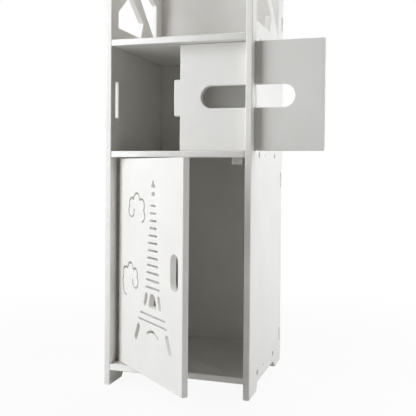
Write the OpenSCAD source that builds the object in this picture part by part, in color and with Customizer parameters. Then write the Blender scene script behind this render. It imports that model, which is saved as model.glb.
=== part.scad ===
// Narrow floor cabinet for a bathroom corner, cut from one thickness of white foam board.
// Millimetres. X runs from the left side panel to the right one, Y from front to back, Z up.
// The origin is the front bottom corner of the left side panel's outer face, on the floor.
// The door is drawn part open and the sliding front part drawn out to the right.

/* [Carcass] */
// Width over both side panels
body_w = 220; // [215:1:300]
// Depth of the side panels
body_d = 210; // [205:1:300]
// Thickness of every board
board_t = 9; // [8:0.5:12]
// Height of the bottom shelf's underside above the floor
foot_h = 22; // [16:1:60]
// Clear height of the cupboard behind the door
cupboard_h = 304; // [300:1:400]
// Clear height of the tissue bay
tissue_bay_h = 153; // [110:0.5:220]
// Clear height of the open upper bay
upper_bay_h = 326; // [320:0.5:420]
// Height of the rim that the sides and back make round the top board
rim_h = 20; // [5:1:60]
// Distance from the rear edges of the sides to the back panel
back_recess = 3; // [0:0.5:10]

/* [Feet] */
// Height of the arch cut into the lower edge of each side panel
arch_h = 12; // [6:1:14]
// Length of the front foot on the floor
front_foot_len = 42; // [25:1:60]
// Length of the rear foot on the floor
rear_foot_len = 38; // [25:1:60]
// Run of the slope from the front foot up into the arch
front_foot_slope = 8; // [2:1:20]
// Run of the slope from the rear foot up into the arch
rear_foot_slope = 16; // [2:1:25]

/* [Back panel tabs] */
// Height of each tab on the back panel
back_tab_h = 22; // [12:1:40]
// Height of the lowest tab's centre above the floor, and of the highest one's below the top
back_tab_end = 45; // [35:1:80]
// Number of tabs on each side
back_tab_count = 4; // [2:1:6]
// How far a tab's end stays behind the outer face
back_tab_short = 2; // [0:0.5:4]
// Clearance round a tab in its slot
tab_clear = 0.3; // [0.2:0.05:0.6]

/* [Side lattice] */
// Solid strip in front of the lattice
lattice_front = 24.3; // [16:0.1:30]
// Solid strip between the upper shelf and the lattice
lattice_base = 22; // [12:1:30]

/* [Door] */
// Distance from the front edges to the outer faces of the door and the sliding front
front_recess = 16; // [12:0.5:30]
// Gap between the door's hinge edge and the left side panel
door_hinge_gap = 5; // [1.2:0.1:6]
// Gap between the door's free edge and the right side panel
door_side_gap = 1.5; // [1.2:0.1:3]
// Gap under the door
door_floor_gap = 1.5; // [1.2:0.1:3]
// Gap over the door
door_head_gap = 2; // [1.2:0.1:4]
// Angle at which the door is drawn
door_open = 40.7; // [0:0.1:90]
// Width of the finger slot
grip_w = 20.5; // [14:0.5:30]
// Height of the finger slot
grip_h = 48; // [30:1:90]
// Distance from the free edge to the middle of the finger slot
grip_inset = 22.3; // [18:0.1:30]
// Height of the middle of the finger slot above the bottom of the door
grip_z = 153; // [60:1:230]

/* [Door cut-outs] */
// Distance from the pivot to the middle line of the tower figure
tower_x = 108.4; // [105:0.1:110]
// Height of the tower's lowest rung above the bottom of the door
tower_z = 124; // [110:1:130]
// Number of short rungs
rung_count = 12; // [6:1:13]
// Distance between short rungs
rung_pitch = 10.15; // [8:0.05:10.5]
// Height of a short rung
rung_h = 3; // [2:0.1:4]
// Width of the top rung
rung_top_w = 14.9; // [10:0.1:18]
// How much wider each rung is than the one above it
rung_step = 2.36; // [1:0.02:2.4]
// Width of the outline cut of the clouds
cloud_cut = 3; // [2:0.1:4]

/* [Sliding front] */
// Length of the sliding front without its tab
slide_len = 207; // [190:1:290]
// How far the sliding front is drawn out
slide_out = 100.4; // [0:0.1:180]
// Clearance over and under the sliding front
slide_gap = 0.5; // [0.3:0.1:1]
// Clearance on the faces of the sliding front in its slit
slit_clear = 1; // [0.4:0.1:2]
// Height of the tab that enters the left side panel
slide_tab_h = 52; // [30:1:80]
// Gap between the sliding front and the left side panel when it is shut
slide_stop_gap = 0.5; // [0.3:0.1:2]
// Length of the tissue slot
tissue_slot_len = 134.5; // [100:0.5:140]
// Height of the tissue slot
tissue_slot_h = 32; // [24:1:44]

/* [Pivots] */
// Diameter of the pivot pins
pin_d = 5; // [4:0.5:6]
// Running clearance of a pin on its radius
pin_clear = 0.08; // [0.04:0.01:0.1]
// Depth of a pin in the door
pin_in_door = 16; // [10:1:30]
// Depth of a pin in a shelf
pin_in_shelf = 7; // [5:0.5:7]
// Diameter of the washer under the door
washer_d = 11; // [9:0.5:14]
// Clearance between the washer and the door
washer_clear = 0.1; // [0.05:0.05:0.3]

/* [Fasteners] */
// Diameter of a shelf screw's head
screw_head_d = 8.5; // [7:0.1:9]
// Diameter of a shelf screw's shank
screw_d = 3.5; // [3:0.1:4.5]
// Length of a shelf screw
screw_len = 30; // [22:1:40]
// Distance from the front edge to the front row of screws
screw_front = 48; // [30:1:70]
// Distance from the front edge to the rear row of screws
screw_rear = 153; // [130:1:170]
// Distance from the front edge to the row of panel pins
nail_y = 88; // [75:1:110]
// Diameter of a panel pin
nail_d = 3; // [2:0.1:3.5]
// Length of a panel pin
nail_len = 25; // [18:1:35]

/* [Magnetic catch] */
// Width of the catch
catch_w = 16.5; // [14:0.5:24]
// Height of the catch
catch_h = 9.5; // [8:0.5:14]
// Length of the catch, front to back
catch_len = 32; // [26:1:45]
// Distance from the right side panel to the middle of the catch
catch_inset = 18.3; // [14:0.1:40]
// Gap between the strike plate and the pole plates when the door is shut
catch_gap = 0.3; // [0.2:0.1:1]
// Thickness of the strike plate
strike_t = 0.8; // [0.6:0.1:1.5]
// Width of the strike plate
strike_w = 14; // [12:1:22]
// Height of the strike plate
strike_h = 9; // [8:1:16]

/* [Hidden] */
$fn = 48;
eps = 0.5;

// Heights of the shelves' undersides
bottom_z = foot_h;
middle_z = bottom_z + board_t + cupboard_h;
upper_z = middle_z + board_t + tissue_bay_h;
top_z = upper_z + board_t + upper_bay_h;
body_h = top_z + board_t + rim_h;
shelf_zs = [bottom_z, middle_z, upper_z, top_z];

inner_w = body_w - 2 * board_t;
right_x = body_w - board_t;
back_y = body_d - back_recess - board_t;
back_tab_pitch = (body_h - 2 * back_tab_end) / (back_tab_count - 1);
back_tab_zs = [for (i = [0 : back_tab_count - 1]) back_tab_end + i * back_tab_pitch];

// The pivot axis is the middle of the door's rounded hinge edge
pivot_x = board_t + door_hinge_gap + board_t / 2;
pivot_y = front_recess + board_t / 2;
door_len = right_x - door_side_gap - pivot_x;
door_z0 = bottom_z + board_t + door_floor_gap;
door_z1 = middle_z - door_head_gap;
door_h = door_z1 - door_z0;

slide_z0 = middle_z + board_t + slide_gap;
slide_z1 = upper_z - slide_gap;
slide_mid_z = (slide_z0 + slide_z1) / 2;
slide_tab_len = board_t;
slide_x = board_t + slide_stop_gap + slide_out;

// The lattice of the side panels, in a cracked-ice pattern. Each cell is a list of corners,
// measured from the lattice's lower front corner.
lattice_w = 148.3;
lattice_h = 284;
lattice_cells = [
    [[0, 0], [84, 0], [93.4, 26], [45.4, 60.7], [0, 23.2]],
    [[lattice_w, 0], [lattice_w, 67.5], [84, 93.9], [70, 71]],
    [[0, 49], [38, 80], [46, 128], [0, 112]],
    [[lattice_w, 89.5], [lattice_w, 152], [96, 170], [66, 132], [78, 118.5]],
    [[0, 133], [52, 151], [76, 186], [40, 214], [0, 200]],
    [[lattice_w, 173.5], [lattice_w, 228], [76, 247], [62, 219], [98, 191]],
    [[0, 222], [42, 236.7], [64, lattice_h], [0, lattice_h]],
    [[lattice_w, 249], [lattice_w, lattice_h], [94, lattice_h], [85, 266]]
];

// The middle of each cloud's curled lobe, from the pivot and the bottom of the door, and the
// lobes from there on: middle in X and Z, radius, first and last angle
upper_cloud = [40.6, 225.3];
lower_cloud = [54.6, 125];
cloud_lobes = [
    [0, 0.3, 8.8, 130, 372],
    [1, 11.8, 7.3, 50, 215],
    [16.5, 16.5, 9.4, 10, 168],
    [32.4, 9, 9.2, -35, 120]
];
upper_cloud_end = [[34.4, -4.8, 8.3, -82, 45]];
lower_cloud_end = [[34.4, -3.6, 7.9, -45, 52], [31.5, -13.5, 8.7, -105, 20]];

screw_ys = [screw_front, screw_rear];
screw_head_h = 2.6;
screw_tip = 5;
cross_w = 1;
cross_d = 1.6;

// The catch stands behind the shut door's strike plate
catch_x = right_x - catch_inset;
shut_y = front_recess + board_t;
pole_y = shut_y + strike_t + catch_gap;
pole_proud = 0.4;
catch_y = pole_y + pole_proud;
catch_wall = 1.6;
pole_t = 1.2;
pole_h = catch_h - 2 * catch_wall;
pole_len = 14;
magnet_w = catch_w - 2 * catch_wall - 2 * pole_t;
magnet_len = pole_len - catch_wall;
catch_screw_d = 3;
catch_screw_head_d = 6;
catch_screw_head_h = 1.8;
catch_screw_in_shelf = 6;
strike_screw_d = 2.5;
strike_screw_head_d = 4.6;
strike_screw_head_h = 0.8;
strike_screw_len = 7;
strike_drop = strike_h / 2 + 0.5;

board_colour = [0.95, 0.95, 0.94];
steel_colour = [0.7, 0.7, 0.72];
plastic_colour = [0.85, 0.85, 0.83];

// A groove cut by a round cutter from one point to another
module routed(from, to, width) {
    run = to - from;
    translate(from) rotate(atan2(run.y, run.x)) {
        translate([0, -width / 2]) square([norm(run), width]);
        circle(d = width);
        translate([norm(run), 0]) circle(d = width);
    }
}

// A groove cut by a round cutter along an arc. The cutter dwells at its ends, which are a
// little wider than the groove.
module routed_arc(centre, radius, start, end, width) {
    reach = 4 * radius;
    steps = 4;
    dwell = 1.12;
    angles = [for (i = [0 : steps]) start + i * (end - start) / steps];
    translate(centre) {
        intersection() {
            difference() {
                circle(r = radius + width / 2);
                circle(r = radius - width / 2);
            }
            polygon(concat([[0, 0]], [for (angle = angles) reach * [cos(angle), sin(angle)]]));
        }
        for (angle = [start, end]) {
            translate(radius * [cos(angle), sin(angle)]) circle(d = dwell * width);
        }
    }
}

// An upright board from a flat outline in Y and Z, starting at x
module board_across_x(x) {
    translate([x, 0, 0]) rotate([90, 0, 90]) linear_extrude(board_t) children();
}

// An upright board from a flat outline in X and Z, starting at y
module board_across_y(y) {
    translate([0, y + board_t, 0]) rotate([90, 0, 0]) linear_extrude(board_t) children();
}

module side_outline() {
    difference() {
        square([body_d, body_h]);
        polygon([
            [front_foot_len, -eps],
            [front_foot_len, 0],
            [front_foot_len + front_foot_slope, arch_h],
            [body_d - rear_foot_len - rear_foot_slope, arch_h],
            [body_d - rear_foot_len, 0],
            [body_d - rear_foot_len, -eps]
        ]);
        translate([lattice_front, upper_z + board_t + lattice_base]) {
            for (cell = lattice_cells) polygon(cell);
        }
        for (z = back_tab_zs) {
            translate([back_y - tab_clear, z - back_tab_h / 2 - tab_clear]) {
                square([board_t + 2 * tab_clear, back_tab_h + 2 * tab_clear]);
            }
        }
    }
}

// A countersunk screw along +Z with its head's face at the origin
module screw(head_d, head_h, shank_d, length) {
    difference() {
        union() {
            cylinder(h = head_h, d1 = head_d, d2 = shank_d);
            cylinder(h = length - screw_tip, d = shank_d);
            translate([0, 0, length - screw_tip]) cylinder(h = screw_tip, d1 = shank_d, d2 = shank_d / 4);
        }
        for (turn = [0, 90]) {
            rotate(turn) translate([-head_d / 4, -cross_w / 2, -eps]) cube([head_d / 2, cross_w, cross_d + eps]);
        }
    }
}

// The space that the same screw takes, with no recess
module screw_hole(head_d, head_h, shank_d, length) {
    cylinder(h = head_h, d1 = head_d, d2 = shank_d);
    cylinder(h = length, d = shank_d);
}

// Places one child at each shelf screw of one side, pointing into the shelves
module at_shelf_screws(side) {
    for (z = shelf_zs, y = screw_ys) {
        translate([side == "left" ? 0 : body_w, y, z + board_t / 2]) {
            rotate([0, side == "left" ? 90 : -90, 0]) children();
        }
    }
}

// Places one child at each panel pin of one side, pointing into the shelves
module at_panel_pins(side) {
    for (z = shelf_zs) {
        translate([side == "left" ? 0 : body_w, nail_y, z + board_t / 2]) {
            rotate([0, side == "left" ? 90 : -90, 0]) children();
        }
    }
}

module side_holes(side) {
    at_shelf_screws(side) screw_hole(screw_head_d, screw_head_h, screw_d, screw_len);
    at_panel_pins(side) cylinder(h = nail_len, d = nail_d);
}

module left_side_panel() {
    color(board_colour) difference() {
        board_across_x(0) difference() {
            side_outline();
            translate([front_recess - slit_clear, slide_mid_z - slide_tab_h / 2 - slit_clear]) {
                square([board_t + 2 * slit_clear, slide_tab_h + 2 * slit_clear]);
            }
        }
        side_holes("left");
    }
}

module right_side_panel() {
    color(board_colour) difference() {
        board_across_x(right_x) difference() {
            side_outline();
            translate([front_recess - slit_clear, middle_z + board_t]) {
                square([board_t + 2 * slit_clear, tissue_bay_h]);
            }
        }
        side_holes("right");
    }
}

module back_panel() {
    tab = board_t - back_tab_short;
    color(board_colour) board_across_y(back_y) {
        translate([board_t, arch_h]) square([inner_w, body_h - arch_h]);
        for (z = back_tab_zs) {
            translate([board_t - tab, z - back_tab_h / 2]) square([inner_w + 2 * tab, back_tab_h]);
        }
    }
}

module shelf(z) {
    difference() {
        translate([board_t, 0, z]) cube([inner_w, back_y, board_t]);
        side_holes("left");
        side_holes("right");
    }
}

module bottom_shelf() {
    color(board_colour) difference() {
        shelf(bottom_z);
        translate([pivot_x, pivot_y, bottom_z + board_t - pin_in_shelf - eps]) {
            cylinder(h = pin_in_shelf + 2 * eps, d = pin_d + 2 * pin_clear);
        }
    }
}

module middle_shelf() {
    color(board_colour) difference() {
        shelf(middle_z);
        translate([pivot_x, pivot_y, middle_z - eps]) {
            cylinder(h = pin_in_shelf + 2 * eps, d = pin_d + 2 * pin_clear);
        }
        translate([catch_x, catch_y + catch_len - catch_screw_head_d, middle_z - eps]) {
            cylinder(h = catch_screw_in_shelf + eps, d = catch_screw_d);
        }
    }
}

module upper_shelf() {
    color(board_colour) shelf(upper_z);
}

module top_board() {
    color(board_colour) shelf(top_z);
}

// A cloud drawn as a chain of lobes from its curled end on. The chain is open, so that the
// board inside it stays held.
module cloud_outline(lobes) {
    for (lobe = lobes) routed_arc([lobe[0], lobe[1]], lobe[2], lobe[3], lobe[4], cloud_cut);
}

// The tower figure about its middle line, measured from its lowest short rung
module tower_cuts() {
    for (i = [0 : rung_count - 1]) {
        half = (rung_top_w + (rung_count - 1 - i) * rung_step - rung_h) / 2;
        translate([0, i * rung_pitch]) routed([-half, 0], [half, 0], rung_h);
    }
    spire_z = (rung_count - 1) * rung_pitch + 16;
    routed([-1.9, spire_z], [1.9, spire_z], 6);
    routed([-3.9, spire_z + 11], [3.9, spire_z + 11], 4);
    routed([0, spire_z + 12], [0, spire_z + 16.5], 4);
    // The three bars under the rungs
    for (side = [-1, 1]) {
        routed([side * 18.1, -12], [side * 22.5, -23], 7.7);
        routed([side * 2.7, -12], [side * 7.6, -23], 8.2);
    }
    routed([0, -12], [0, -23], 8.2);
    // The two long rungs
    routed([-35.6, -38], [35.6, -38], 2.6);
    routed([-41.3, -47.5], [41.3, -47.5], 2.6);
    // The lower legs and the small arch between them
    for (side = [-1, 1]) routed([side * 42.4, -59], [side * 51.1, -76], 8.7);
    routed_arc([0, -87.9], 28.9, 57.5, 122.5, 3.6);
}

module door_outline() {
    difference() {
        square([door_len, door_h]);
        translate([door_len - grip_inset, grip_z]) {
            routed([0, -(grip_h - grip_w) / 2], [0, (grip_h - grip_w) / 2], grip_w);
        }
        translate([tower_x, tower_z]) tower_cuts();
        translate(upper_cloud) cloud_outline(concat(cloud_lobes, upper_cloud_end));
        translate(lower_cloud) mirror([1, 0]) cloud_outline(concat(cloud_lobes, lower_cloud_end));
    }
}

// Places the shut door's pieces at the angle at which the door is drawn
module door_pose() {
    translate([pivot_x, pivot_y, 0]) rotate(-door_open) children();
}

module strike_pose() {
    translate([catch_x - pivot_x, shut_y - pivot_y, door_z1 - strike_drop]) children();
}

module cupboard_door() {
    color(board_colour) door_pose() difference() {
        translate([0, 0, door_z0]) {
            translate([0, board_t / 2, 0]) rotate([90, 0, 0]) linear_extrude(board_t) door_outline();
            cylinder(h = door_h, d = board_t);
        }
        translate([0, 0, door_z0 - eps]) cylinder(h = pin_in_door + eps, d = pin_d);
        translate([0, 0, door_z1 - pin_in_door]) cylinder(h = pin_in_door + eps, d = pin_d);
        strike_pose() translate([0, strike_t, 0]) rotate([90, 0, 0]) {
            cylinder(h = strike_screw_len, d = strike_screw_d);
        }
    }
}

module sliding_front() {
    slot_half = (tissue_slot_len - tissue_slot_h) / 2;
    color(board_colour) translate([slide_x, 0, 0]) board_across_y(front_recess) difference() {
        union() {
            translate([0, slide_z0]) square([slide_len, slide_z1 - slide_z0]);
            translate([-slide_tab_len, slide_mid_z - slide_tab_h / 2]) {
                square([slide_tab_len + eps, slide_tab_h]);
            }
        }
        translate([(slide_len - slide_tab_len) / 2, slide_mid_z]) {
            routed([-slot_half, 0], [slot_half, 0], tissue_slot_h);
        }
    }
}

module lower_pivot_pin() {
    foot = bottom_z + board_t - pin_in_shelf;
    color(steel_colour) translate([pivot_x, pivot_y, foot]) {
        cylinder(h = door_z0 + pin_in_door - foot, d = pin_d);
    }
}

module upper_pivot_pin() {
    foot = door_z1 - pin_in_door;
    color(steel_colour) translate([pivot_x, pivot_y, foot]) {
        cylinder(h = middle_z + pin_in_shelf - foot, d = pin_d);
    }
}

// The washer lies on the bottom shelf round the lower pin and carries the door
module pivot_washer() {
    color(plastic_colour) translate([pivot_x, pivot_y, bottom_z + board_t]) difference() {
        cylinder(h = door_floor_gap - washer_clear, d = washer_d);
        translate([0, 0, -eps]) cylinder(h = door_floor_gap + eps, d = pin_d + 2 * pin_clear);
    }
}

module catch_screw_place() {
    translate([catch_x, catch_y + catch_len - catch_screw_head_d, middle_z - catch_h]) children();
}

// Places the catch's working parts from the middle of its front, at the inside of its floor
module catch_pose() {
    translate([catch_x, catch_y, middle_z - catch_h + catch_wall]) children();
}

// The housing has a front wall before the magnet, with a slit for each pole plate
module catch_housing() {
    color(plastic_colour) difference() {
        translate([catch_x - catch_w / 2, catch_y, middle_z - catch_h]) cube([catch_w, catch_len, catch_h]);
        catch_pose() {
            translate([-magnet_w / 2 - pole_t, catch_wall, 0]) {
                cube([magnet_w + 2 * pole_t, magnet_len, pole_h]);
            }
            for (x = [-magnet_w / 2 - pole_t, magnet_w / 2]) {
                translate([x, -eps, 0]) cube([pole_t, catch_wall + 2 * eps, pole_h]);
            }
        }
        catch_screw_place() {
            screw_hole(catch_screw_head_d, catch_screw_head_h, catch_screw_d, catch_h + eps);
        }
    }
}

module catch_magnet() {
    color([0.25, 0.25, 0.26]) catch_pose() translate([-magnet_w / 2, catch_wall, 0]) {
        cube([magnet_w, magnet_len, pole_h]);
    }
}

module catch_pole_plates() {
    color(steel_colour) catch_pose() for (x = [-magnet_w / 2 - pole_t, magnet_w / 2]) {
        translate([x, -pole_proud, 0]) cube([pole_t, pole_len + pole_proud, pole_h]);
    }
}

module catch_screw() {
    color(steel_colour) catch_screw_place() {
        screw(catch_screw_head_d, catch_screw_head_h, catch_screw_d, catch_h + catch_screw_in_shelf);
    }
}

module strike_plate() {
    color(steel_colour) door_pose() strike_pose() difference() {
        translate([-strike_w / 2, 0, -strike_h / 2]) cube([strike_w, strike_t, strike_h]);
        translate([0, strike_t, 0]) rotate([90, 0, 0]) {
            screw_hole(strike_screw_head_d, strike_screw_head_h, strike_screw_d, strike_t + eps);
        }
    }
}

module strike_screw() {
    color(steel_colour) door_pose() strike_pose() translate([0, strike_t, 0]) rotate([90, 0, 0]) {
        cylinder(h = strike_screw_head_h, d1 = strike_screw_head_d, d2 = strike_screw_d);
        cylinder(h = strike_screw_len, d = strike_screw_d);
    }
}

module shelf_screws(side) {
    color(steel_colour) at_shelf_screws(side) screw(screw_head_d, screw_head_h, screw_d, screw_len);
}

module panel_pins(side) {
    color(steel_colour) at_panel_pins(side) cylinder(h = nail_len, d = nail_d);
}

left_side_panel();
right_side_panel();
back_panel();
bottom_shelf();
middle_shelf();
upper_shelf();
top_board();
cupboard_door();
sliding_front();
lower_pivot_pin();
upper_pivot_pin();
pivot_washer();
catch_housing();
catch_magnet();
catch_pole_plates();
catch_screw();
strike_plate();
strike_screw();
shelf_screws("left");  // left_shelf_screws
shelf_screws("right");  // right_shelf_screws
panel_pins("left");  // left_panel_pins
panel_pins("right");  // right_panel_pins
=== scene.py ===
import math

import bpy
from mathutils import Matrix, Vector


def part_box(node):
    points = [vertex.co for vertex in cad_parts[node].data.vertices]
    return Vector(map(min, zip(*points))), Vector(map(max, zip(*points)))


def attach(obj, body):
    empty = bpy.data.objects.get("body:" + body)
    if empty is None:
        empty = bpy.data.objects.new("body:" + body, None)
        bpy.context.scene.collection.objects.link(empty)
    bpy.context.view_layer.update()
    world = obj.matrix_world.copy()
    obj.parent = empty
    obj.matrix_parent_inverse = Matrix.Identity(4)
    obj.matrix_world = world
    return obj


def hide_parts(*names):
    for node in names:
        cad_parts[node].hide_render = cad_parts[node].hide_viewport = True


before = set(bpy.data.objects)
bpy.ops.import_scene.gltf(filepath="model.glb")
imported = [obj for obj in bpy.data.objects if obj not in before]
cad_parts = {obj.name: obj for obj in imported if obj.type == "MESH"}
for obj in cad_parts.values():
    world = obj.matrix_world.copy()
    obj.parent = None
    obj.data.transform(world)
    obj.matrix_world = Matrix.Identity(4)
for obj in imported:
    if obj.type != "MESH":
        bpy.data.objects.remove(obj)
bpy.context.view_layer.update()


# The camera stands a little to the right of the cabinet and below its middle, and looks to the
# left. Its place and angles were worked out from the cabinet's edges in the photograph.
camera_place = Vector((0.4402, -0.8813, 0.3183))
camera_yaw = math.radians(17.737)
camera_pitch = math.radians(-1.044)
camera_roll = math.radians(0.464)
from_down_to_level = math.radians(90)
camera_data = bpy.data.cameras.new("camera")
camera_data.sensor_width = 36
camera_data.lens = 57.46
camera_data.shift_y = -0.0639
camera = bpy.data.objects.new("camera", camera_data)
bpy.context.scene.collection.objects.link(camera)
camera.matrix_world = (
    Matrix.Translation(camera_place)
    @ Matrix.Rotation(camera_yaw, 4, "Z")
    @ Matrix.Rotation(from_down_to_level + camera_pitch, 4, "X")
    @ Matrix.Rotation(camera_roll, 4, "Z")
)
bpy.context.scene.camera = camera
bpy.context.scene.view_settings.view_transform = "Standard"


# The light of a small studio: a large soft box to the left of the front, three small ones nearer by
# for the front edges, one to the right with a strip light beside it, one behind and one above. The
# room all round them is dim and warm, and the camera sees it as plain white.
def hex_colour(code):
    """An sRGB hex colour as linear red, green, blue and an alpha of 1."""
    shown = [int(code[i:i + 2], 16) / 255 for i in (1, 3, 5)]
    linear = [s / 12.92 if s <= 0.04045 else ((s + 0.055) / 1.055) ** 2.4 for s in shown]
    return (*linear, 1.0)


def add_node(tree, kind, settings=None, inputs=None, links=None):
    """Adds one shader node, with its own settings, its constant inputs and its incoming links."""
    node = tree.nodes.new(kind)
    for name, value in (settings or {}).items():
        setattr(node, name, value)
    for name, value in (inputs or {}).items():
        node.inputs[name].default_value = value
    for name, source in (links or {}).items():
        tree.links.new(source, node.inputs[name])
    return node


def seen_directly(tree):
    """1 for what the camera sees, straight, mirrored or through something clear, 0 for light."""
    ray = add_node(tree, "ShaderNodeLightPath")
    total = ray.outputs["Is Camera Ray"]
    for other in ("Is Glossy Ray", "Is Transmission Ray"):
        total = add_node(
            tree, "ShaderNodeMath", {"operation": "ADD", "use_clamp": True},
            links={0: total, 1: ray.outputs[other]},
        ).outputs[0]
    return total


lamp_tint = hex_colour("#f5f9ff")[:3]
cabinet_middle = Vector((0.11, 0.05, 0.36))
for name, place, size, watts in (
    ("key_soft_box", (-0.92, -1.23, 0.7), (0.8, 1.3), 12.8),
    ("high_soft_box", (-0.34, -0.54, 1.1), (0.4, 0.4), 2.7),
    ("left_soft_box", (-0.52, -0.3, 0.8), (0.3, 0.5), 2.2),
    ("low_soft_box", (-0.53, -0.64, 0.2), (0.5, 0.3), 1.6),
    ("side_soft_box", (0.84, 0.31, 0.45), (0.4, 0.7), 3.6),
    ("strip_light", (0.91, 0.01, 0.45), (0.08, 0.7), 1.2),
    ("back_soft_box", (-0.1, 1.7, 0.8), (0.8, 1.3), 9),
    ("top_soft_box", (0.2, 0.6, 2.2), (0.8, 0.8), 5),
):
    lamp_data = bpy.data.lights.new(name, "AREA")
    lamp_data.shape = "RECTANGLE"
    lamp_data.size, lamp_data.size_y = size
    lamp_data.energy = watts
    lamp_data.color = lamp_tint
    lamp = bpy.data.objects.new(name, lamp_data)
    bpy.context.scene.collection.objects.link(lamp)
    lamp.location = place
    lamp.rotation_euler = (cabinet_middle - Vector(place)).to_track_quat("-Z", "Y").to_euler()

world = bpy.data.worlds.new("studio_room")
bpy.context.scene.world = world
world.use_nodes = True
tree = world.node_tree
tree.nodes.clear()
room = add_node(
    tree, "ShaderNodeBackground", inputs={"Color": hex_colour("#ffe2c2"), "Strength": 0.06}
)
paper = add_node(
    tree, "ShaderNodeBackground", inputs={"Color": hex_colour("#ffffff"), "Strength": 1.0}
)
chosen = add_node(
    tree, "ShaderNodeMixShader",
    links={0: seen_directly(tree), 1: room.outputs[0], 2: paper.outputs[0]},
)
add_node(tree, "ShaderNodeOutputWorld", links={"Surface": chosen.outputs[0]})


# The floor is a sheet of white studio paper. The camera sees most of it as plain white: all of it
# far off, and a little less near the cabinet, where it keeps the cabinet's shadow.
def material(name):
    """An empty node material and its tree."""
    made = bpy.data.materials.new(name)
    made.use_nodes = True
    made.node_tree.nodes.clear()
    return made, made.node_tree


near, far = 0.2, 0.9
near_whiteness, far_whiteness = 0.93, 1.0
bpy.ops.object.select_all(action="DESELECT")
bpy.ops.mesh.primitive_plane_add(size=8, location=(0.1, 0.1, 0))
floor = bpy.context.active_object
floor.name = "floor"
paper_white, tree = material("white studio paper")
matt = add_node(
    tree, "ShaderNodeBsdfPrincipled",
    inputs={"Base Color": hex_colour("#d6d6d5"), "Roughness": 0.9, "Specular IOR Level": 0.2},
)
glow = add_node(
    tree, "ShaderNodeEmission", inputs={"Color": hex_colour("#ffffff"), "Strength": 1.0}
)
place = add_node(tree, "ShaderNodeTexCoord").outputs["Object"]
distance = add_node(tree, "ShaderNodeVectorMath", {"operation": "LENGTH"}, links={0: place})
whiteness = add_node(
    tree, "ShaderNodeMapRange", {"interpolation_type": "SMOOTHSTEP"},
    {"From Min": near, "From Max": far, "To Min": near_whiteness, "To Max": far_whiteness},
    {"Value": distance.outputs["Value"]},
)
glow_share = add_node(
    tree, "ShaderNodeMath", {"operation": "MULTIPLY"},
    links={0: seen_directly(tree), 1: whiteness.outputs["Result"]},
)
mixed = add_node(
    tree, "ShaderNodeMixShader",
    links={0: glow_share.outputs[0], 1: matt.outputs[0], 2: glow.outputs[0]},
)
add_node(tree, "ShaderNodeOutputMaterial", links={"Surface": mixed.outputs[0]})
floor.data.materials.append(paper_white)


# The carcass is two sides, the back between them and four shelves, all of 9 mm PVC foam board. That
# is a white foam with a smooth satin skin on both faces. The router that cut the outlines left matt
# edges, and the arrises were eased by hand.
def scale_for(mm):
    """The scale at which a pattern repeats about every so many millimetres."""
    return 1000 / mm


def foam_board_skin():
    """The satin skin: white, with a faint cloudiness and the shallow orange peel of its rollers."""
    made, tree = material("PVC foam board skin")
    place = add_node(tree, "ShaderNodeTexCoord").outputs["Object"]
    cloud = add_node(
        tree, "ShaderNodeTexNoise",
        inputs={"Scale": scale_for(mm=60), "Detail": 3, "Roughness": 0.5},
        links={"Vector": place},
    )
    tone = add_node(tree, "ShaderNodeValToRGB", links={"Fac": cloud.outputs["Fac"]})
    tone.color_ramp.elements[0].position = 0.3
    tone.color_ramp.elements[0].color = hex_colour("#e4e2dc")
    tone.color_ramp.elements[1].position = 0.7
    tone.color_ramp.elements[1].color = hex_colour("#e9e7e2")
    peel = add_node(
        tree, "ShaderNodeTexNoise",
        inputs={"Scale": scale_for(mm=2.5), "Detail": 2, "Roughness": 0.45},
        links={"Vector": place},
    )
    gloss = add_node(
        tree, "ShaderNodeMapRange",
        inputs={"From Min": 0.3, "From Max": 0.7, "To Min": 0.38, "To Max": 0.48},
        links={"Value": peel.outputs["Fac"]},
    )
    bump = add_node(
        tree, "ShaderNodeBump", inputs={"Strength": 0.25, "Distance": 0.00004},
        links={"Height": peel.outputs["Fac"]},
    )
    skin = add_node(
        tree, "ShaderNodeBsdfPrincipled",
        inputs={"IOR": 1.5, "Specular IOR Level": 0.4},
        links={
            "Base Color": tone.outputs["Color"],
            "Roughness": gloss.outputs["Result"],
            "Normal": bump.outputs["Normal"],
        },
    )
    add_node(tree, "ShaderNodeOutputMaterial", links={"Surface": skin.outputs[0]})
    return made


def foam_board_edge():
    """The routed edge: open foam cells of about half a millimetre, so it is duller, and whiter."""
    made, tree = material("PVC foam board routed edge")
    place = add_node(tree, "ShaderNodeTexCoord").outputs["Object"]
    cells = add_node(
        tree, "ShaderNodeTexVoronoi", {"feature": "F1"},
        {"Scale": scale_for(mm=0.6), "Randomness": 1}, {"Vector": place},
    )
    tool_marks = add_node(
        tree, "ShaderNodeTexNoise",
        inputs={"Scale": scale_for(mm=9), "Detail": 4, "Roughness": 0.6},
        links={"Vector": place},
    )
    tone = add_node(tree, "ShaderNodeValToRGB", links={"Fac": tool_marks.outputs["Fac"]})
    tone.color_ramp.elements[0].position = 0.3
    tone.color_ramp.elements[0].color = hex_colour("#eeece6")
    tone.color_ramp.elements[1].position = 0.7
    tone.color_ramp.elements[1].color = hex_colour("#f3f1ec")
    bump = add_node(
        tree, "ShaderNodeBump", inputs={"Strength": 0.4, "Distance": 0.00008},
        links={"Height": cells.outputs["Distance"]},
    )
    edge = add_node(
        tree, "ShaderNodeBsdfPrincipled",
        inputs={"IOR": 1.5, "Specular IOR Level": 0.3, "Roughness": 0.7},
        links={"Base Color": tone.outputs["Color"], "Normal": bump.outputs["Normal"]},
    )
    add_node(tree, "ShaderNodeOutputMaterial", links={"Surface": edge.outputs[0]})
    return made


board_skin = foam_board_skin()
board_edge = foam_board_edge()

doubles_apart = 0.00005
same_place = 0.00001
# Two unit vectors count as parallel when their product is above the first of these, and an outline
# turns sharply where it is below the second.
parallel = 0.999
sharp_turn = 0.8


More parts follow.
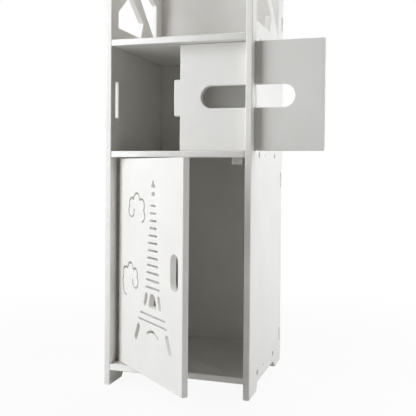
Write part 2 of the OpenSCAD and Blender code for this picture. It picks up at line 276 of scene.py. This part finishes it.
def as_copied(node, name):
    """A free copy of a CAD node's shape, with its doubled corners merged, as a new object."""
    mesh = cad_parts[node].data.copy()
    mesh.materials.clear()
    piece = bpy.data.objects.new(name, mesh)
    bpy.context.scene.collection.objects.link(piece)
    bpy.ops.object.select_all(action="DESELECT")
    piece.select_set(True)
    bpy.context.view_layer.objects.active = piece
    bpy.ops.mesh.customdata_custom_splitnormals_clear()
    bpy.ops.object.mode_set(mode="EDIT")
    bpy.ops.mesh.select_mode(type="FACE")
    bpy.ops.mesh.select_all(action="SELECT")
    bpy.ops.mesh.remove_doubles(threshold=doubles_apart)
    bpy.ops.mesh.select_all(action="DESELECT")
    bpy.ops.object.mode_set(mode="OBJECT")
    return piece


def choose(piece, kind, wanted):
    """Selects the faces, edges or corners of the active piece for which wanted is true, and stays
    in edit mode."""
    bpy.ops.object.mode_set(mode="EDIT")
    bpy.ops.mesh.select_mode(type=kind)
    bpy.ops.mesh.select_all(action="DESELECT")
    bpy.ops.object.mode_set(mode="OBJECT")
    mesh = piece.data
    for part in {"FACE": mesh.polygons, "EDGE": mesh.edges, "VERT": mesh.vertices}[kind]:
        part.select = wanted(part)
    bpy.ops.object.mode_set(mode="EDIT")


def outer_corners(piece, across):
    """The edges through the board's thickness where its outline turns a sharp outer corner."""
    sides = {}
    for face in piece.data.polygons:
        for key in face.edge_keys:
            sides.setdefault(key, []).append(face)
    found = set()
    for edge in piece.data.edges:
        a, b = (piece.data.vertices[v].co for v in edge.vertices)
        pair = sides[edge.key]
        if abs((b - a).normalized().dot(across)) < parallel or len(pair) != 2:
            continue
        one, other = pair
        turned = one.normal.dot(other.normal) < sharp_turn
        if turned and (other.center - a).dot(one.normal) < 0:
            found.add(edge.key)
    return found


def dressed_board(node, name, across, body, eased=0.0008, corner=0.0014, rolled=lambda face: False):
    """A board in its CAD node's shape, with skin on its two faces alone, its arrises eased and the
    sharp outer corners of its outline rounded. A rolled face is part of a rounded edge that runs
    into the skin with no arris."""
    board = as_copied(node, name)
    board.data.materials.append(board_edge)
    board.data.materials.append(board_skin)
    across = Vector(across)

    def on_skin(face):
        return abs(face.normal.dot(across)) > parallel

    def at_depth(point, plane):
        return abs(point.dot(across) - plane) < same_place

    if corner:
        # The walls' triangles are joined first, because their diagonals would tilt the new faces.
        choose(board, "FACE", lambda face: not on_skin(face))
        bpy.ops.mesh.tris_convert_to_quads(
            face_threshold=math.radians(0.1), shape_threshold=math.radians(180)
        )
        bpy.ops.object.mode_set(mode="OBJECT")
        corners = outer_corners(board, across)
        choose(board, "EDGE", lambda edge: edge.key in corners)
        bpy.ops.mesh.bevel(offset=corner, segments=2, affect="EDGES")
    depths = [v.co.dot(across) for v in board.data.vertices]
    low, high = min(depths), max(depths)

    # The skin is inset, and the old corners then sink a little way down the walls.
    choose(board, "FACE", lambda face: on_skin(face) or rolled(face))
    walls = [face for face in board.data.polygons if not (on_skin(face) or rolled(face))]
    wall_corners = {tuple(board.data.vertices[v].co) for face in walls for v in face.vertices}
    bpy.ops.mesh.inset(thickness=eased, depth=0, use_even_offset=True)
    for plane, inward in ((low, across), (high, -across)):
        choose(board, "VERT", lambda v: tuple(v.co) in wall_corners and at_depth(v.co, plane))
        bpy.ops.transform.translate(value=inward * eased)

    if corner:
        # The inset leaves slivers across the rounded corners, so each skin is filled again whole.
        for plane in (low, high):
            choose(board, "FACE", lambda face: on_skin(face) and at_depth(face.center, plane))
            bpy.ops.mesh.delete(type="FACE")
            bpy.ops.mesh.select_mode(type="EDGE")
            bpy.ops.mesh.select_non_manifold(
                extend=False, use_wire=False, use_boundary=True, use_multi_face=False,
                use_non_contiguous=False, use_verts=False,
            )
            bpy.ops.mesh.fill(use_beauty=False)
    choose(board, "FACE", on_skin)
    board.active_material_index = 1
    bpy.ops.object.material_slot_assign()
    bpy.ops.object.mode_set(mode="OBJECT")
    bpy.ops.object.shade_smooth_by_angle(angle=math.radians(30))
    choose(board, "FACE", on_skin)
    bpy.ops.mesh.faces_shade_flat()
    bpy.ops.object.mode_set(mode="OBJECT")
    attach(board, body)
    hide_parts(node)


for node, name, across in (
    ("left_side_panel", "left_side_board", (1, 0, 0)),
    ("right_side_panel", "right_side_board", (1, 0, 0)),
    ("back_panel", "back_board", (0, 1, 0)),
    ("bottom_shelf", "bottom_shelf_board", (0, 0, 1)),
    ("middle_shelf", "middle_shelf_board", (0, 0, 1)),
    ("upper_shelf", "upper_shelf_board", (0, 0, 1)),
    ("top_board", "top_shelf_board", (0, 0, 1)),
):
    dressed_board(node, name, across, "carcass")


# The door is a panel of the same board, with a tower and two clouds cut right through it. It hangs
# on pins in its half-round left edge. It stands open, so its faces are turned by its opening angle
# about the upright pivot.
door_turn = math.radians(40.7)
door_across = Vector((math.sin(door_turn), math.cos(door_turn), 0))
door_along = Vector((math.cos(door_turn), -math.sin(door_turn), 0))
door_pivot = Vector((0.0185, 0.0205, 0))


def hinge_edge(face):
    """The half-round edge on the pivots, which runs into both faces."""
    upright = abs(face.normal.z) < 0.1
    behind_pivot = (face.center - door_pivot).dot(door_along) < 0.0001
    return upright and behind_pivot


dressed_board(
    "cupboard_door", "door_board", door_across, "door", eased=0.0006, corner=0, rolled=hinge_edge
)


# The sliding front of the tissue bay is of the same board, with a slot that tissues are pulled
# through. It slides in the slit of the right side, and its tab shuts into the slot of the left one.
dressed_board("sliding_front", "sliding_front_board", (0, 1, 0), "front")


# The shelves hang on countersunk steel screws, two in each end, driven flush through the sides,
# with a hardened panel pin between them. Both are zinc plated.
def zinc_plate(name, light, dark, rough):
    """Bright zinc on drawn steel: a cool grey, cloudy where the passivation is thicker, with a
    crystal sparkle too fine to show, which is drawn at 0.4 mm."""
    made, tree = material(name)
    place = add_node(tree, "ShaderNodeTexCoord").outputs["Object"]
    bloom = add_node(
        tree, "ShaderNodeTexNoise",
        inputs={"Scale": scale_for(mm=4), "Detail": 3, "Roughness": 0.55},
        links={"Vector": place},
    )
    tone = add_node(tree, "ShaderNodeValToRGB", links={"Fac": bloom.outputs["Fac"]})
    tone.color_ramp.elements[0].position = 0.35
    tone.color_ramp.elements[0].color = hex_colour(dark)
    tone.color_ramp.elements[1].position = 0.65
    tone.color_ramp.elements[1].color = hex_colour(light)
    crystal = add_node(
        tree, "ShaderNodeTexNoise",
        inputs={"Scale": scale_for(mm=0.4), "Detail": 2, "Roughness": 0.6},
        links={"Vector": place},
    )
    gloss = add_node(
        tree, "ShaderNodeMapRange",
        inputs={"From Min": 0.3, "From Max": 0.7, "To Min": rough - 0.06, "To Max": rough + 0.1},
        links={"Value": crystal.outputs["Fac"]},
    )
    bump = add_node(
        tree, "ShaderNodeBump", inputs={"Strength": 0.3, "Distance": 0.00002},
        links={"Height": crystal.outputs["Fac"]},
    )
    metal = add_node(
        tree, "ShaderNodeBsdfPrincipled", inputs={"Metallic": 1.0},
        links={
            "Base Color": tone.outputs["Color"],
            "Roughness": gloss.outputs["Result"],
            "Normal": bump.outputs["Normal"],
        },
    )
    add_node(tree, "ShaderNodeOutputMaterial", links={"Surface": metal.outputs[0]})
    return made


def finish_nodes(finish, *nodes):
    """Gives CAD nodes that stay as they are their finish."""
    for node in nodes:
        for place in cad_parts[node].material_slots:
            place.material = finish


screw_zinc = zinc_plate("zinc plated countersunk screw", "#b9bcbd", "#9da1a4", rough=0.34)
finish_nodes(
    screw_zinc, "left_shelf_screws", "right_shelf_screws", "left_panel_pins", "right_panel_pins"
)


# The door turns on two plain steel pins pressed into its hinge edge. A turned nylon washer on
# the bottom shelf carries it.
def turned_nylon():
    """Nylon 6 cut from rod: milky and a little see-through, with rings left by the lathe. A wave
    pattern of scale 1 has 20 / (2 pi) rings to the metre."""
    made, tree = material("turned nylon")
    place = add_node(tree, "ShaderNodeTexCoord").outputs["Object"]
    centred = add_node(
        tree, "ShaderNodeMapping", inputs={"Location": -door_pivot}, links={"Vector": place}
    )
    rings = add_node(
        tree, "ShaderNodeTexWave",
        {"wave_type": "RINGS", "rings_direction": "Z", "wave_profile": "SIN"},
        {"Scale": 2 * math.pi / 20 * scale_for(mm=0.5), "Distortion": 0.4},
        {"Vector": centred.outputs["Vector"]},
    )
    bump = add_node(
        tree, "ShaderNodeBump", inputs={"Strength": 0.3, "Distance": 0.00003},
        links={"Height": rings.outputs["Fac"]},
    )
    nylon = add_node(
        tree, "ShaderNodeBsdfPrincipled",
        inputs={
            "Base Color": hex_colour("#dcdad1"), "Roughness": 0.48, "IOR": 1.53,
            "Subsurface Weight": 0.25, "Subsurface Radius": (0.002, 0.002, 0.0016),
            "Subsurface Scale": 0.5,
        },
        links={"Normal": bump.outputs["Normal"]},
    )
    add_node(tree, "ShaderNodeOutputMaterial", links={"Surface": nylon.outputs[0]})
    return made


pin_zinc = zinc_plate("zinc plated pivot pin", "#b4b6b8", "#a3a6aa", rough=0.26)
finish_nodes(pin_zinc, "lower_pivot_pin", "upper_pivot_pin")
finish_nodes(turned_nylon(), "pivot_washer")


# The magnetic catch is a moulded ABS housing screwed up under the middle shelf. Its magnet sits
# behind the front wall between two steel plates, whose edges come out through slits.
def moulded_abs():
    """ABS from a spark-eroded mould: warm white, matt, with a fine even grain of 0.5 mm."""
    made, tree = material("moulded ABS")
    place = add_node(tree, "ShaderNodeTexCoord").outputs["Object"]
    grain = add_node(
        tree, "ShaderNodeTexVoronoi", {"feature": "SMOOTH_F1"},
        {"Scale": scale_for(mm=0.5), "Smoothness": 0.6}, {"Vector": place},
    )
    flow = add_node(
        tree, "ShaderNodeTexNoise", inputs={"Scale": scale_for(mm=14), "Detail": 2},
        links={"Vector": place},
    )
    tone = add_node(tree, "ShaderNodeValToRGB", links={"Fac": flow.outputs["Fac"]})
    tone.color_ramp.elements[0].position = 0.3
    tone.color_ramp.elements[0].color = hex_colour("#dbd8d2")
    tone.color_ramp.elements[1].position = 0.7
    tone.color_ramp.elements[1].color = hex_colour("#e3e0da")
    bump = add_node(
        tree, "ShaderNodeBump", inputs={"Strength": 0.35, "Distance": 0.00004},
        links={"Height": grain.outputs["Distance"]},
    )
    plastic = add_node(
        tree, "ShaderNodeBsdfPrincipled", inputs={"Roughness": 0.46, "IOR": 1.54},
        links={"Base Color": tone.outputs["Color"], "Normal": bump.outputs["Normal"]},
    )
    add_node(tree, "ShaderNodeOutputMaterial", links={"Surface": plastic.outputs[0]})
    return made


def sintered_ferrite():
    """Sintered ferrite: nearly black, dull, with ground faces that show a grain of 0.3 mm."""
    made, tree = material("sintered ferrite")
    place = add_node(tree, "ShaderNodeTexCoord").outputs["Object"]
    grain = add_node(
        tree, "ShaderNodeTexNoise",
        inputs={"Scale": scale_for(mm=0.3), "Detail": 4, "Roughness": 0.7},
        links={"Vector": place},
    )
    tone = add_node(tree, "ShaderNodeValToRGB", links={"Fac": grain.outputs["Fac"]})
    tone.color_ramp.elements[0].color = hex_colour("#2b2b2d")
    tone.color_ramp.elements[1].color = hex_colour("#454548")
    ceramic = add_node(
        tree, "ShaderNodeBsdfPrincipled", inputs={"Roughness": 0.55},
        links={"Base Color": tone.outputs["Color"]},
    )
    add_node(tree, "ShaderNodeOutputMaterial", links={"Surface": ceramic.outputs[0]})
    return made


catch = as_copied("catch_housing", "catch_body")
catch.data.materials.append(moulded_abs())
lowest, highest = (Vector(corner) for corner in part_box("catch_housing"))


def outer_planes(point):
    """How many of the housing's outer planes a point lies on."""
    return sum(
        abs(point[i] - plane[i]) < same_place for plane in (lowest, highest) for i in range(3)
    )


def outer_edge(edge):
    """An edge along the block's outside, apart from those against the shelf."""
    ends = [catch.data.vertices[v].co for v in edge.vertices]
    square = sum(abs(ends[0][i] - ends[1][i]) > same_place for i in range(3)) == 1
    on_shelf = all(abs(end.z - highest.z) < same_place for end in ends)
    return square and not on_shelf and all(outer_planes(end) > 1 for end in ends)


choose(catch, "EDGE", outer_edge)
bpy.ops.mesh.bevel(offset=0.0008, segments=3, affect="EDGES")
bpy.ops.object.mode_set(mode="OBJECT")
bpy.ops.object.shade_smooth_by_angle(angle=math.radians(35))
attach(catch, "carcass")
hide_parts("catch_housing")
finish_nodes(sintered_ferrite(), "catch_magnet")
strip_zinc = zinc_plate("zinc plated steel strip", "#c4c6c7", "#aeb2b5", rough=0.3)
finish_nodes(strip_zinc, "catch_pole_plates", "catch_screw")


# The strike plate is punched from the same zinc plated strip. One short screw holds it to the
# door's inner face, where it meets the edges of the catch's two steel plates.
finish_nodes(strip_zinc, "strike_plate", "strike_screw")
